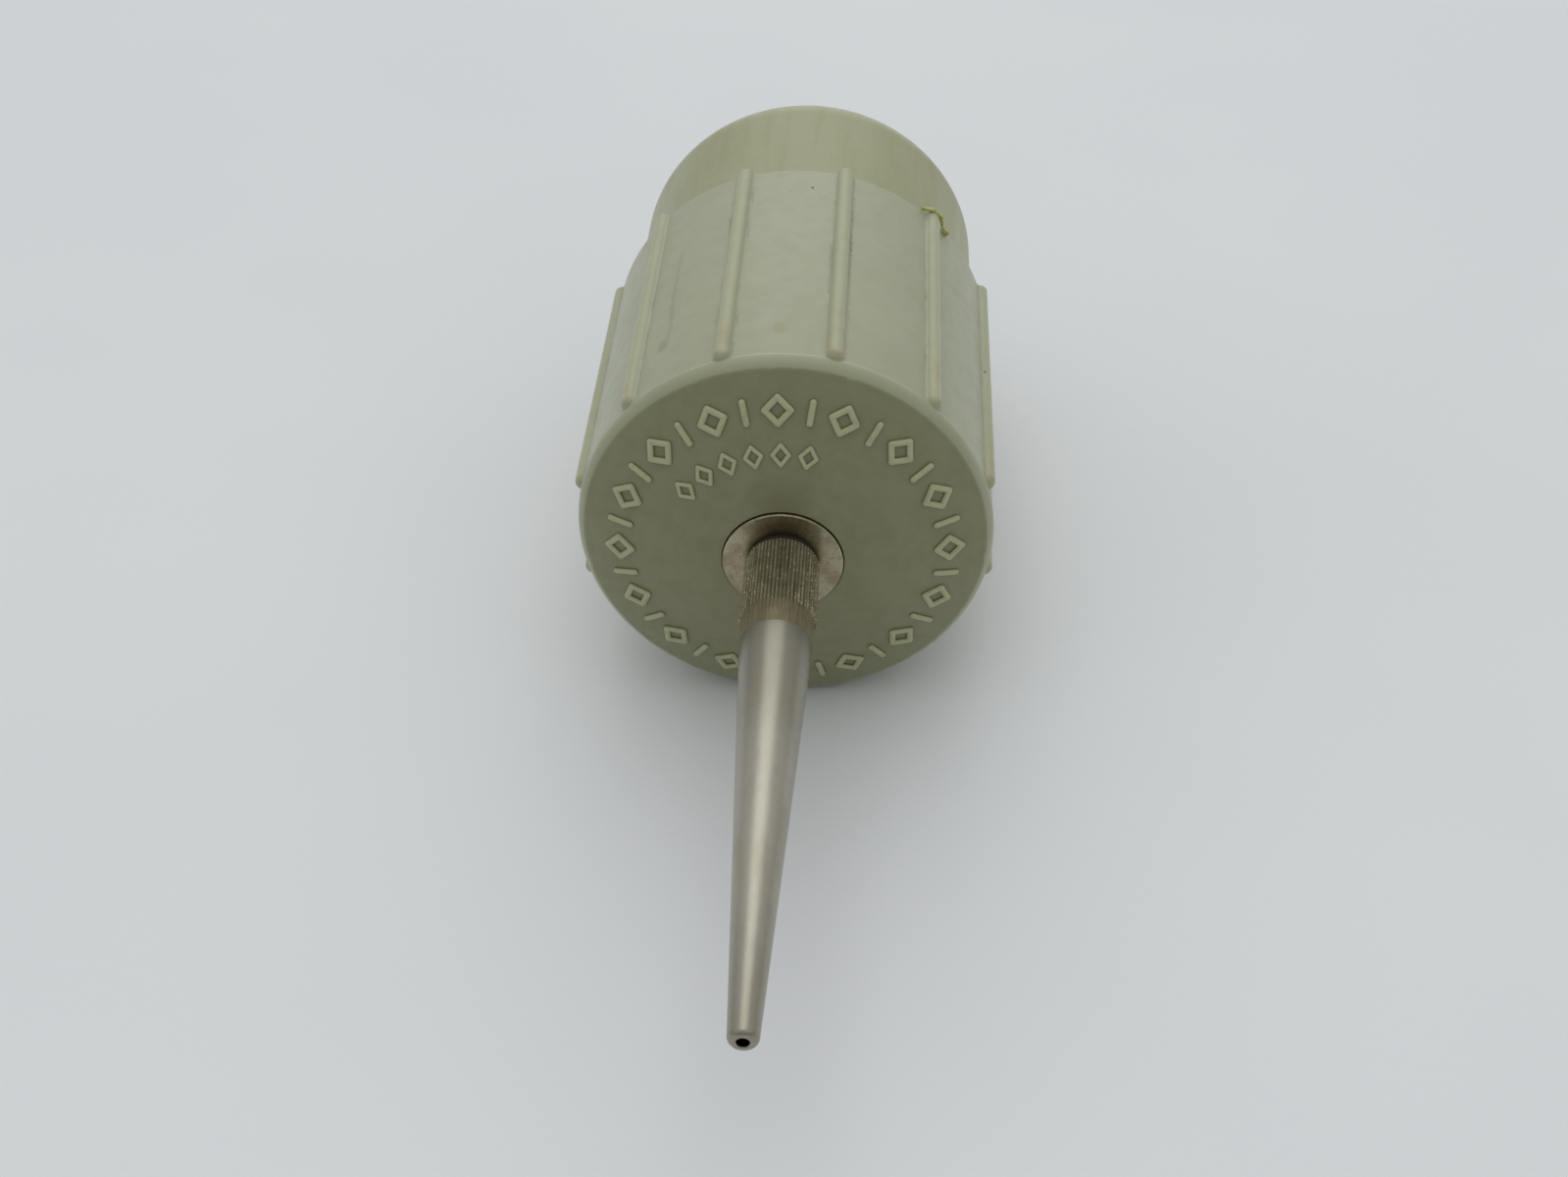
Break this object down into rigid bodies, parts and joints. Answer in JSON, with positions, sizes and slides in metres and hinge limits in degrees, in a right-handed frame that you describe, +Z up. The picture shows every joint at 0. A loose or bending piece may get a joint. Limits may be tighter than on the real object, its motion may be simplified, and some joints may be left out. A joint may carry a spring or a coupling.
{
  "type": "watchmaker screwdriver",
  "caption": "Watchmaker's screwdriver with a hollow guide nose, a ribbed round handle and a sprung palm cap that presses the blade out of the nose.",
  "frame": {"origin": "centre of the tool's outline, on the surface that its two lower ribs rest on", "axes": "+Z up, +Y along the tool from the nose towards the palm cap"},
  "size_m": [0.0342, 0.1038, 0.0341],
  "materials": {
    "handle_plastic": "moulded, aged grey-green, satin",
    "cap_plastic": "moulded, yellowed grey-green, satin",
    "satin_nickel": "nickel plated brass, satin, slightly tarnished",
    "polished_nickel": "nickel plated, lengthwise polish",
    "plain_steel": "turned",
    "hardened_steel": "hardened and ground",
    "spring_steel": "drawn wire",
    "ball_steel": "polished",
    "raw_brass": "turned",
    "dark_fibre": "pressed fibre, oiled"
  },
  "bodies": {
    "handle": {"handle_body": "handle_plastic", "front_bush": "satin_nickel", "bush_key": "plain_steel", "bush_washer": "plain_steel", "bush_nut": "raw_brass", "nose_washer": "dark_fibre", "spring_seat": "raw_brass", "return_spring": "spring_steel"},
    "nose": {"nose_tube": "polished_nickel"},
    "plunger": {"spindle": "plain_steel", "blade_rod": "plain_steel", "blade": "hardened_steel", "drive_pin": "hardened_steel", "spring_collar": "raw_brass", "collar_screw": "plain_steel", "thrust_ball": "ball_steel"},
    "cap": {"palm_cap": "cap_plastic", "swivel_socket": "raw_brass", "swivel_nut": "raw_brass", "thrust_pad": "hardened_steel"}
  },
  "joints": [
    {"name": "press", "type": "slide", "parent": "handle", "child": "plunger", "axis": [0, -1, 0], "range_m": [0, 0.004], "stiffness_N_per_m": 900, "springref_m": -0.004, "deforming": ["return_spring"]},
    {"name": "cap_swivel", "type": "hinge", "parent": "plunger", "child": "cap", "pos_m": [0, 0, 0.01707], "axis": [0, 1, 0], "continuous": true},
    {"name": "nose_turn", "type": "hinge", "parent": "handle", "child": "nose", "pos_m": [0, 0, 0.01707], "axis": [0, 1, 0], "range_deg": [-180, 180]}
  ]
}
